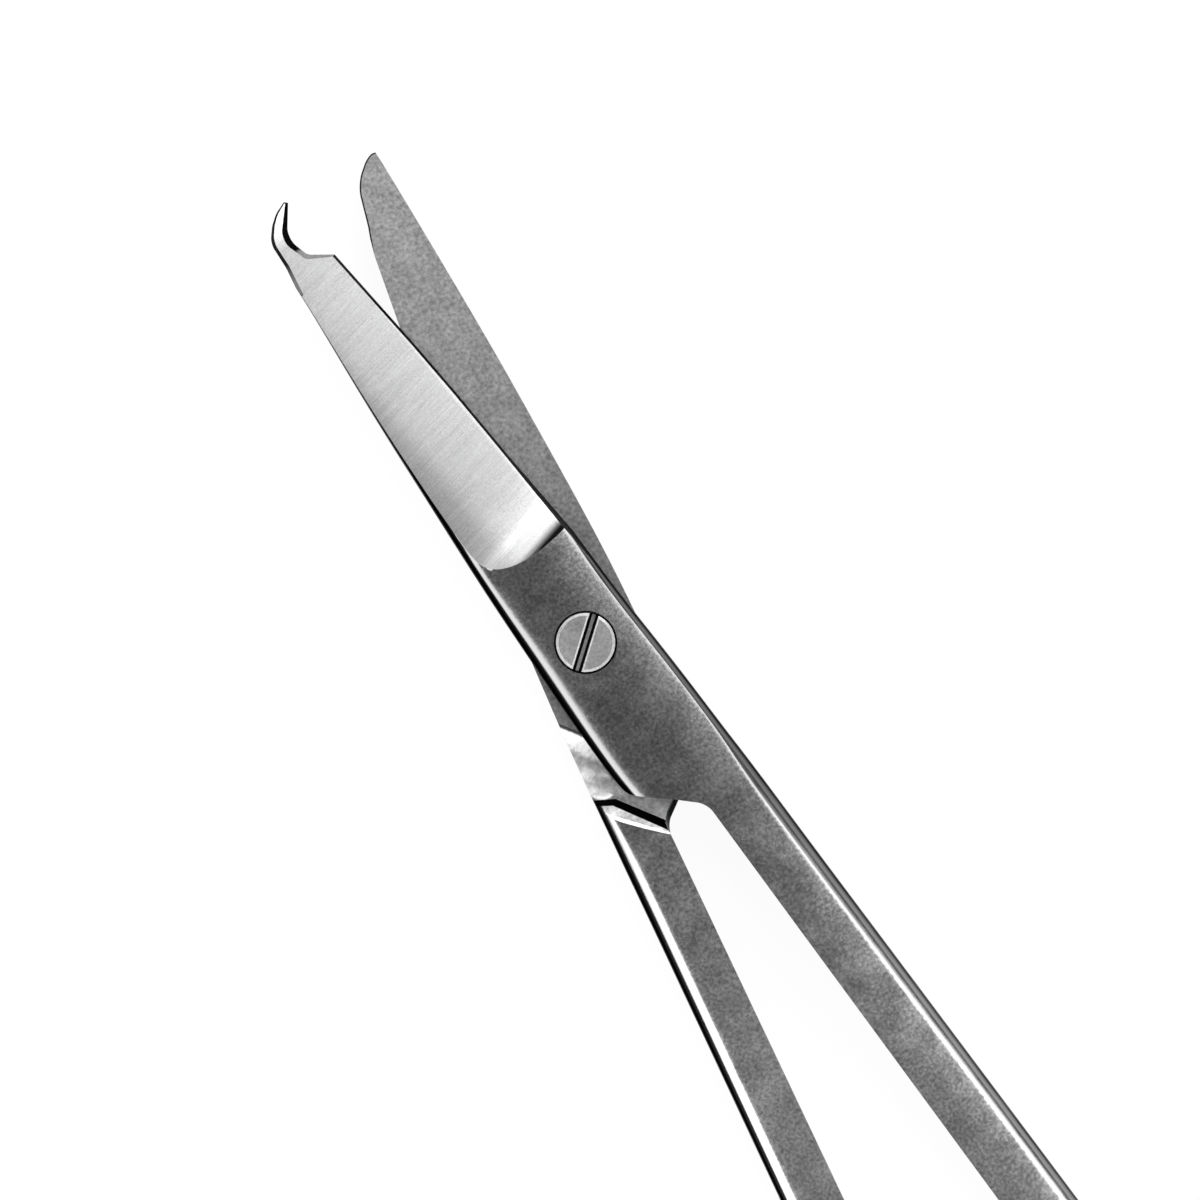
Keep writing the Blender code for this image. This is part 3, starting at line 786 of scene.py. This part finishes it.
def pivot_screw():
    """Turned from a disc: head, shank below it, chamfers, then the slot."""
    top = THICKNESS - HEAD_SUNK
    neck = top - HEAD_HEIGHT
    obj = round_bar("pivot_screw_finished", HEAD_RADIUS, neck, top - HEAD_CROWN, turned)
    edit(obj)
    pick([v.index for v in open_mesh().verts if v.co.z < neck + CLOSE])
    bpy.ops.mesh.inset(thickness=(HEAD_RADIUS - SCREW_RADIUS) * math.cos(math.pi / ROUND_STEPS))
    bpy.ops.mesh.extrude_region_move(TRANSFORM_OT_translate={"value": (0, 0, -neck)})
    bpy.ops.mesh.bevel(offset=TAIL_CHAMFER, segments=1, affect="EDGES")
    pick([v.index for v in open_mesh().verts if v.co.z > top - HEAD_CROWN - CLOSE])
    bpy.ops.mesh.inset(thickness=HEAD_CHAMFER)
    bpy.ops.transform.translate(value=(0, 0, HEAD_CROWN))
    face_outwards()
    leave()
    end = HEAD_RADIUS + PAST
    wide, shallow = SLOT_BREAK
    section = [(SLOT_WIDTH + 2 * wide, top + PAST), (SLOT_WIDTH + 2 * wide, top)]
    section += [(SLOT_WIDTH, top - shallow), (SLOT_FLOOR_WIDTH, top - SLOT_DEPTH)]
    section += [(-width, height) for width, height in reversed(section)]
    near = [Vector((-end, width / 2, height)) for width, height in section]
    far = [Vector((end, place.y, place.z)) for place in near]
    slot = slab("slot", near, far, slot_floor, walls=slot_wall_painted_shade)
    slot.rotation_euler = (0, 0, math.radians(SLOT_ANGLE))
    cut(obj, slot)
    smooth(obj)
    placed(obj, Matrix.Identity(4))
    return obj


# Finishes


def nodes_of(tree):
    """A short way to add a node and set its values: add(kind, inputs by name or number, **settings)."""

    def add(kind, values=None, **settings):
        node = tree.nodes.new(kind)
        for setting, value in settings.items():
            setattr(node, setting, value)
        for socket, value in (values or {}).items():
            if isinstance(value, bpy.types.NodeSocket):
                tree.links.new(value, node.inputs[socket])
            else:
                node.inputs[socket].default_value = value
        return node

    return add


def node_group(name, inputs, outputs):
    """A new shader group, with a way to add nodes to it, its inputs and its output node."""
    tree = bpy.data.node_groups.new(name, "ShaderNodeTree")
    for label, kind, value in inputs:
        socket = tree.interface.new_socket(name=label, in_out="INPUT", socket_type=kind)
        if value is not None:
            socket.default_value = value
    for label in outputs:
        tree.interface.new_socket(name=label, in_out="OUTPUT", socket_type="NodeSocketFloat")
    add = nodes_of(tree)
    return tree, add, add("NodeGroupInput").outputs, add("NodeGroupOutput")


VECTOR = "NodeSocketVector"
FLOAT = "NodeSocketFloat"


def steel_grain():
    """The mottled surface of blasted or forged steel: fine grain with soft clouds over it."""
    inputs = [("Place", VECTOR, None), ("Grain size", FLOAT, 0.09), ("Cloud size", FLOAT, 1.6)]
    tree, add, given, out = node_group("steel grain", inputs, ("Grain", "Clouds"))
    for size, label, detail, roughness in (
        ("Grain size", "Grain", 2.5, 0.6),
        ("Cloud size", "Clouds", 4.0, 0.55),
    ):
        per_mm = add("ShaderNodeMath", {0: 1 / MM, 1: given[size]}, operation="DIVIDE").outputs[0]
        values = {"Vector": given["Place"], "Scale": per_mm, "Detail": detail, "Roughness": roughness}
        noise = add("ShaderNodeTexNoise", values)
        spread = add(
            "ShaderNodeMapRange",
            {"Value": noise.outputs[0], "From Min": 0.3, "From Max": 0.7},
            clamp=True,
        )
        tree.links.new(spread.outputs[0], out.inputs[label])
    return tree


def wheel_marks():
    """Fine parallel marks that a grinding belt or wheel leaves, all in one direction."""
    inputs = [("Place", VECTOR, None), ("Direction", FLOAT, 0.0)]
    inputs += [("Spacing", FLOAT, 0.06), ("Length", FLOAT, 1.6)]
    tree, add, given, out = node_group("wheel marks", inputs, ("Marks", "Streaks"))
    turned_place = add(
        "ShaderNodeVectorRotate",
        {"Vector": given["Place"], "Angle": given["Direction"]},
        rotation_type="Z_AXIS",
    ).outputs[0]
    for label, wider in (("Marks", 1.0), ("Streaks", 5.0)):
        across = add("ShaderNodeMath", {0: 1 / MM / wider, 1: given["Spacing"]}, operation="DIVIDE")
        along = add("ShaderNodeMath", {0: 1 / MM / wider, 1: given["Length"]}, operation="DIVIDE")
        rates = add("ShaderNodeCombineXYZ", {"X": along.outputs[0], "Y": across.outputs[0]})
        tree.links.new(along.outputs[0], rates.inputs["Z"])
        stretched = add(
            "ShaderNodeVectorMath",
            {0: turned_place, 1: rates.outputs[0]},
            operation="MULTIPLY",
        )
        noise = add(
            "ShaderNodeTexNoise",
            {"Vector": stretched.outputs[0], "Scale": 1.0, "Detail": 3.0, "Roughness": 0.7},
        )
        spread = add(
            "ShaderNodeMapRange",
            {"Value": noise.outputs[0], "From Min": 0.3, "From Max": 0.7},
            clamp=True,
        )
        tree.links.new(spread.outputs[0], out.inputs[label])
    return tree


# Painted shade on the steel's sides: where steel is a face or a side, by how level it lies, and a
# side's ends, from mid-height in mm
FACE_LEVEL = (0.93, 0.985)
SIDE_LEVEL = (0.84, 0.74)
SIDE_ENDS = (0.4, 0.65)


def painted_side_shade():
    """Where a broad face rounds off into a side, which is darkened there as painted shade.

    Steep, the painted shade, is 0 on the faces and, if not everywhere, half-way down the side as well,
    and weaker on sides facing +X, and Flat is 1 on the faces alone.
    """
    inputs = [("Everywhere", FLOAT, 0.0)]
    tree, add, given, out = node_group("painted side shade", inputs, ("Steep", "Flat"))
    coordinates = add("ShaderNodeTexCoord")
    facing = add("ShaderNodeSeparateXYZ", {0: coordinates.outputs["Normal"]}).outputs
    level = add("ShaderNodeMath", {0: facing["Z"]}, operation="ABSOLUTE").outputs[0]
    face = {"Value": level, "From Min": FACE_LEVEL[0], "From Max": FACE_LEVEL[1]}
    flat_part = add("ShaderNodeMapRange", face)
    tree.links.new(flat_part.outputs[0], out.inputs["Flat"])
    side = {"Value": level, "From Min": SIDE_LEVEL[0], "From Max": SIDE_LEVEL[1]}
    steep = add("ShaderNodeMapRange", side).outputs[0]
    # Sides facing +X keep more of their grey, so the painted shade falls mostly on sides facing -X
    towards = {"Value": facing["X"], "From Min": 0.3, "From Max": 0.7, "To Min": 1.0, "To Max": 0.5}
    share = add("ShaderNodeMapRange", towards).outputs[0]
    steep = add("ShaderNodeMath", {0: steep, 1: share}, operation="MULTIPLY").outputs[0]
    height = add("ShaderNodeSeparateXYZ", {0: coordinates.outputs["Object"]}).outputs["Z"]
    middle = add("ShaderNodeMath", {0: height, 1: LAP * MM}, operation="SUBTRACT").outputs[0]
    away = add("ShaderNodeMath", {0: middle}, operation="ABSOLUTE").outputs[0]
    ends = {"Value": away, "From Min": SIDE_ENDS[0] * MM, "From Max": SIDE_ENDS[1] * MM}
    near_face = add("ShaderNodeMapRange", ends).outputs[0]
    wanted = {0: near_face, 1: given["Everywhere"]}
    wanted = add("ShaderNodeMath", wanted, operation="MAXIMUM").outputs[0]
    both = add("ShaderNodeMath", {0: steep, 1: wanted}, operation="MULTIPLY")
    tree.links.new(both.outputs[0], out.inputs["Steep"])
    return tree


def line_distance():
    """How far a place lies past a straight line, in millimetres."""
    inputs = [("Place", VECTOR, None), ("Direction", VECTOR, None), ("Line", FLOAT, 0.0)]
    tree, add, given, out = node_group("distance past a line", inputs, ("Distance",))
    reach = add(
        "ShaderNodeVectorMath",
        {0: given["Place"], 1: given["Direction"]},
        operation="DOT_PRODUCT",
    ).outputs["Value"]
    in_mm = add("ShaderNodeMath", {0: reach, 1: 1 / MM}, operation="MULTIPLY").outputs[0]
    past = add("ShaderNodeMath", {0: in_mm, 1: given["Line"]}, operation="SUBTRACT")
    tree.links.new(past.outputs[0], out.inputs["Distance"])
    return tree


GRAIN = steel_grain()
MARKS = wheel_marks()
SIDE_SHADE = painted_side_shade()
PAST_LINE = line_distance()


def painted_shading(place, start, along, stops):
    """Painted light and shade across a line in a half's own frame, towards the left of its direction.
    """
    along = Vector(along).normalized()
    direction = place.to_3x3() @ Vector((-along.y, along.x, 0))
    return direction, direction.dot(place @ Vector(start).to_3d()), stops


def steel(
    name,
    tone,
    gloss,
    side=1.0,
    grain=(0.13, 0.2),
    clouds=(1.6, 0.05),
    marks=None,
    shadings=(),
    depth=0.0015,
    rim=0.3,
    everywhere=0.0,
    smooth_sides=False,
):
    """A steel finish.

    tone is its mid grey, gloss its lowest and highest roughness, and side how much of the grey is
    left where a face rounds off into a side, a painted shade. grain and clouds are a size in
    millimetres and how far they change the grey. marks are (direction in degrees, spacing, length,
    strength). Each shading is painted light and shade, as (direction, line, stops), and each of its
    stops a distance past the line and the share of the grey there. depth is how deep the grain and
    marks go, in millimetres. rim is how bright the steel stays where it is seen edge on. everywhere
    is 1 where the painted shade darkens steep faces at any height. smooth_sides is for finishes
    whose grain dies away where the face rounds off.
    """
    material = bpy.data.materials.new(name)
    material.use_nodes = True
    tree = material.node_tree
    add = nodes_of(tree)
    shader = tree.nodes["Principled BSDF"]
    shader.inputs["Metallic"].default_value = 1
    shader.inputs["Specular Tint"].default_value = (rim, rim, rim, 1)
    place = add("ShaderNodeTexCoord").outputs["Object"]
    surface = add("ShaderNodeGroup", node_tree=GRAIN)
    tree.links.new(place, surface.inputs["Place"])
    surface.inputs["Grain size"].default_value = grain[0]
    surface.inputs["Cloud size"].default_value = clouds[0]
    height = surface.outputs["Grain"]
    shares = []
    # Painted shade where a face rounds off into a side
    if side < 1:
        mask = add("ShaderNodeGroup", node_tree=SIDE_SHADE)
        mask.inputs["Everywhere"].default_value = everywhere

    def vary(output, amount):
        values = {"Value": output, "To Min": 1 - amount, "To Max": 1 + amount}
        shares.append(add("ShaderNodeMapRange", values).outputs[0])

    vary(surface.outputs["Grain"], grain[1])
    if smooth_sides:
        blend = {"Factor": mask.outputs["Flat"], "A": 1.0, "B": shares.pop()}
        shares.append(add("ShaderNodeMix", blend).outputs["Result"])
        kept = {0: height, 1: mask.outputs["Flat"]}
        height = add("ShaderNodeMath", kept, operation="MULTIPLY").outputs[0]
    vary(surface.outputs["Clouds"], clouds[1])
    if marks:
        direction, spacing, length, strength = marks
        lines = add("ShaderNodeGroup", node_tree=MARKS)
        tree.links.new(place, lines.inputs["Place"])
        lines.inputs["Direction"].default_value = math.radians(direction)
        lines.inputs["Spacing"].default_value = spacing
        lines.inputs["Length"].default_value = length
        vary(lines.outputs["Marks"], strength)
        vary(lines.outputs["Streaks"], strength / 2)
        blend = {"Factor": 0.6, "A": height, "B": lines.outputs["Marks"]}
        height = add("ShaderNodeMix", blend).outputs["Result"]
    # Painted shade: steep sides keep only the share side of their grey
    if side < 1:
        values = {"Value": mask.outputs["Steep"], "To Min": 1.0, "To Max": side}
        shares.append(add("ShaderNodeMapRange", values).outputs[0])
    # Painted light and shade: the grey scaled up or down across lines on the piece
    for direction, line, stops in shadings:
        past = add("ShaderNodeGroup", node_tree=PAST_LINE)
        tree.links.new(place, past.inputs["Place"])
        past.inputs["Direction"].default_value = direction
        past.inputs["Line"].default_value = line
        first, last = stops[0][0], stops[-1][0]
        reach = {"Value": past.outputs["Distance"], "From Min": first, "From Max": last}
        ramp = add("ShaderNodeValToRGB", {"Fac": add("ShaderNodeMapRange", reach).outputs[0]})
        elements = ramp.color_ramp.elements
        while len(elements) < len(stops):
            elements.new(0.5)
        for element, (distance, share) in zip(elements, stops):
            element.position = (distance - first) / (last - first)
            element.color = (share / 2, share / 2, share / 2, 1)
        doubled = {0: ramp.outputs["Color"], 1: 2}
        shares.append(add("ShaderNodeMath", doubled, operation="MULTIPLY").outputs[0])

    value = shares[0]
    for share in shares[1:]:
        value = add("ShaderNodeMath", {0: value, 1: share}, operation="MULTIPLY").outputs[0]
    grey = add("ShaderNodeCombineColor")
    for channel, share in (("Red", 1.0), ("Green", 1.0), ("Blue", 1.01)):
        level = add("ShaderNodeMath", {0: value, 1: tone * share}, operation="MULTIPLY")
        tree.links.new(level.outputs[0], grey.inputs[channel])
    tree.links.new(grey.outputs[0], shader.inputs["Base Color"])
    polish = {"Value": surface.outputs["Clouds"], "To Min": gloss[0], "To Max": gloss[1]}
    tree.links.new(add("ShaderNodeMapRange", polish).outputs[0], shader.inputs["Roughness"])
    bump = add("ShaderNodeBump", {"Strength": 1.0, "Distance": depth * MM, "Height": height})
    tree.links.new(bump.outputs[0], shader.inputs["Normal"])
    return material


WHEEL_LINE = REST_OPENING / 2 + WHEEL_TURN
UP_SHOULDER = SHOULDER_FOOT_OUT - SHOULDER_FOOT_IN
UP_HOOK_EDGE = Vector(HOOK_EDGE[-1]) - Vector(HOOK_EDGE[1])
UP_PLAIN_EDGE = Vector(PLAIN_EDGE[-1]) - Vector(PLAIN_EDGE[1])

# Painted light and shade across lines: (millimetres past a line, share of the grey there)
RELIEF_STOPS = (
    (0.0, 1.4),
    (0.45, 1.6),
    (0.9, 0.95),
    (1.2, 0.75),
    (1.5, 1.9),
    (2.1, 2.3),
    (2.2, 0.2),
    (2.32, 0.1),
)
BLADE_STOPS = (
    (0.0, 1.5),
    (0.12, 1.15),
    (1.5, 1.03),
    (2.5, 0.93),
    (3.4, 0.62),
    (4.4, 0.46),
    (5.0, 0.44),
)
RUN_OUT_STOPS = ((-3.0, 1.3), (0.0, 1.15), (0.4, 1.06), (1.6, 1.0))
HOOK_SHANK_STOPS = ((-3.0, 1.0), (1.0, 1.15), (14.0, 1.85))
PLAIN_SHANK_STOPS = ((-3.0, 1.3), (1.0, 1.6), (14.0, 2.3))
LAP_STOPS = ((-30.0, 1.25), (-18.0, 0.97), (-12.0, 0.82), (0.0, 0.85), (1.0, 2.6))
TIP_STOPS = ((-2.4, 1.0), (-1.9, 1.0), (-1.0, 1.7), (0.0, 1.8))
BACK_STOPS = ((-3.5, 1.3), (-2.5, 0.1))
NOTCH_STOPS = ((-0.1, 1.9), (0.1, 0.1))


def blade_finish(name, place, edge, up_edge, turn):
    """Cross-ground steel, with painted highlights along the cutting edge, at the tip and at the heel's
    run-out, and painted shade towards the spine and on its steep sides.
    """
    across = painted_shading(place, edge[1], up_edge, BLADE_STOPS)
    tip = painted_shading(place, (0, BLADE_REACH), (1, 0), TIP_STOPS)
    heel = edge_point(edge, GROUND_START)
    wheel = Matrix.Rotation(math.radians(WHEEL_TURN), 2) @ Vector((up_edge.y, -up_edge.x))
    run_out = painted_shading(place, heel, wheel, RUN_OUT_STOPS)
    surface = {"grain": (0.11, 0.1), "clouds": (1.6, 0.03), "marks": (turn, 0.06, 2.0, 0.13)}
    shadings = (across, tip, run_out)
    return steel(name, 0.33, (0.24, 0.32), 0.03, shadings=shadings, everywhere=1.0, **surface)


def satin_finish(name, place, stops):
    """Satin on joint and shank, with painted light growing paler down the shank, and painted shade on
    its steep sides.
    """
    shank = painted_shading(place, SHOULDER_FOOT_IN, (-1, 0), stops)
    surface = {"depth": 0.0002, "rim": 0.05, "smooth_sides": True}
    return steel(name, 0.34, (0.22, 0.29), 0.04, (0.16, 0.45), shadings=(shank,), **surface)


def lapped_finish(name, place):
    """Matt lapped steel, with painted light in the pocket behind the joint, where the joint's walls
    shade it, and towards the tip.
    """
    pocket = painted_shading(place, (0, SHOULDER_FOOT_OUT.y + 0.5), (-1, 0), LAP_STOPS)
    return steel(name, 0.27, (0.46, 0.54), grain=(0.2, 0.34), clouds=(0.9, 0.04), shadings=(pocket,))


def relief_finish(name, place):
    """Steel in the hollow beside the shoulder, with painted highlights and shade by turns across it."""
    foot = painted_shading(place, SHOULDER_FOOT_OUT, UP_SHOULDER, RELIEF_STOPS)
    return steel(name, 0.5, (0.45, 0.6), grain=(0.25, 0.3), shadings=(foot,))


hook_satin = satin_finish("hook_satin_steel", HOOK_PLACE, HOOK_SHANK_STOPS)
plain_satin = satin_finish("plain_satin_steel", PLAIN_PLACE, PLAIN_SHANK_STOPS)
hook_ground = blade_finish("hook_blade_cross_ground", HOOK_PLACE, HOOK_EDGE, UP_HOOK_EDGE, -WHEEL_LINE)
plain_ground = blade_finish(
    "plain_blade_cross_ground", PLAIN_PLACE, PLAIN_EDGE, UP_PLAIN_EDGE, WHEEL_LINE
)
hook_lapped = lapped_finish("hook_lapped_steel", HOOK_PLACE)
plain_lapped = lapped_finish("plain_lapped_steel", PLAIN_PLACE)
# Pale steel on the crest's steep faces: a painted highlight along the shoulder's crest
crest = steel("crest_painted_highlight_steel", 0.8, (0.3, 0.4), rim=0.9)
hook_relief = relief_finish("hook_relief_steel", HOOK_PLACE)
plain_relief = relief_finish("plain_relief_steel", PLAIN_PLACE)
# Painted shade on the hook's back: nearly black at the point, grey further down
back_line = painted_shading(HOOK_PLACE, (0, BLADE_REACH), (1, 0), BACK_STOPS)
hook_back = steel("hook_back_painted_shade_steel", 0.3, (0.3, 0.4), shadings=(back_line,), rim=0.3)
wheel_spot = steel("wheel_spot_steel", 0.56, (0.4, 0.5), grain=(0.3, 0.3))
# Nearly black: painted shade on the shoulder's wall, the bores and the nose
filed_painted_shade = steel("filed_painted_shade_steel", 0.03, (0.3, 0.4), rim=0.02)
# Painted shade in the notch: nearly black towards the tip, grey below it
notch_line = painted_shading(HOOK_PLACE, (0, BLADE_REACH - 2.3), (1, 0), NOTCH_STOPS)
notch_painted_shade = steel("notch_painted_shade_steel", 0.25, (0.3, 0.4), shadings=(notch_line,), rim=0.02)
# Nearly black: painted shade along the honed cutting edge and the broken edge of the head's recess
honed = steel("honed_edge_painted_shade_steel", 0.05, (0.2, 0.28), rim=0.05)
turned = steel("turned_steel", 0.36, (0.4, 0.5))
slot_floor = steel("milled_slot_steel", 0.45, (0.35, 0.45))
# Nearly black: painted shade on the slot's walls
slot_wall_painted_shade = steel("slot_wall_painted_shade_steel", 0.03, (0.4, 0.5), rim=0.02)

hook = hook_half()
plain = plain_half()
screw = pivot_screw()

for piece, body, node, slot_name in (
    (hook, "upper_half", "hook_half", "hook_half_steel"),
    (plain, "lower_half", "plain_half", "plain_half_steel"),
    (screw, "lower_half", "pivot_screw", "screw_steel"),
):
    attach(piece, body)
    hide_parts(node)


# Floor, light and camera. The card floor shows white and keeps the object's shadow, and black
# flags round the set, which the camera doesn't see, darken the steel's sides in reflection, on top of
# the shade painted into the steel's sides


def softbox(name, lean, azimuth, distance, width, height, radiance):
    """A lamp that leans from the vertical towards an azimuth, both in degrees, and faces the pivot."""
    lean = math.radians(lean)
    turn = math.radians(azimuth)
    toward = Vector((math.sin(lean) * math.cos(turn), math.sin(lean) * math.sin(turn), math.cos(lean)))
    bpy.ops.object.light_add(type="AREA", location=toward * distance)
    lamp = bpy.context.active_object
    lamp.name = name
    lamp.rotation_euler = toward.to_track_quat("Z", "Y").to_euler()
    lamp.data.shape = "RECTANGLE"
    lamp.data.size = width
    lamp.data.size_y = height
    lamp.data.energy = radiance * math.pi * width * height
    lamp.visible_camera = False
    return lamp


for settings in SOFTBOXES:
    softbox(*settings)

world = bpy.data.worlds.new("studio")
world.use_nodes = True
surround = world.node_tree.nodes["Background"]
surround.inputs["Color"].default_value = (WORLD_GREY, WORLD_GREY, WORLD_GREY, 1)
bpy.context.scene.world = world

bpy.ops.object.select_all(action="DESELECT")
bpy.ops.mesh.primitive_plane_add(size=CARD_SIZE, location=(0, 0, -CARD_BELOW))
floor = bpy.context.active_object
floor.name = "floor"
card = bpy.data.materials.new("pale_card")
card.use_nodes = True
card_shader = card.node_tree.nodes["Principled BSDF"]
card_shader.inputs["Base Color"].default_value = (CARD_GREY, CARD_GREY, CARD_GREY, 1)
card_shader.inputs["Roughness"].default_value = 0.9
card_shader.inputs["Specular IOR Level"].default_value = 0.2
add_card = nodes_of(card.node_tree)
rays = add_card("ShaderNodeLightPath").outputs
direct = {0: rays["Is Camera Ray"], 1: rays["Is Glossy Ray"]}
seen = add_card("ShaderNodeMath", direct, operation="MAXIMUM")
through_glass = {0: seen.outputs[0], 1: rays["Is Transmission Ray"]}
seen = add_card("ShaderNodeMath", through_glass, operation="MAXIMUM")
share = add_card("ShaderNodeMath", {0: seen.outputs[0], 1: WHITE_SHARE}, operation="MULTIPLY")
white = add_card("ShaderNodeEmission", {"Color": (1, 1, 1, 1), "Strength": 1.0})
layers = {0: share.outputs[0], 1: card_shader.outputs[0], 2: white.outputs[0]}
mixed = add_card("ShaderNodeMixShader", layers)
card.node_tree.links.new(mixed.outputs[0], card.node_tree.nodes["Material Output"].inputs["Surface"])
floor.data.materials.append(card)

bpy.ops.object.select_all(action="DESELECT")
bpy.ops.mesh.primitive_cylinder_add(
    vertices=ROUND_STEPS,
    radius=FLAGS_RADIUS,
    depth=FLAGS_HEIGHT,
    end_fill_type="NOTHING",
    location=(0, 0, FLAGS_HEIGHT / 2),
)
flags = bpy.context.active_object
flags.name = "black_flags"
felt = bpy.data.materials.new("black_felt")
felt.use_nodes = True
felt_shader = felt.node_tree.nodes["Principled BSDF"]
felt_shader.inputs["Base Color"].default_value = (FELT_GREY, FELT_GREY, FELT_GREY, 1)
felt_shader.inputs["Roughness"].default_value = 1
flags.data.materials.append(felt)
flags.visible_camera = False
flags.visible_diffuse = False
flags.visible_shadow = False

aim = CAMERA_AIM * MM
height = LENS / SENSOR * VIEW_WIDTH * MM
bpy.ops.object.camera_add(location=(aim.x, aim.y, aim.z + height), rotation=(0, 0, -CAMERA_TURN))
camera = bpy.context.active_object
camera.name = "camera"
camera.data.lens = LENS
camera.data.sensor_width = SENSOR
camera.data.clip_start = 0.01
camera.data.clip_end = 20
bpy.context.scene.camera = camera
bpy.context.scene.view_settings.view_transform = "Standard"
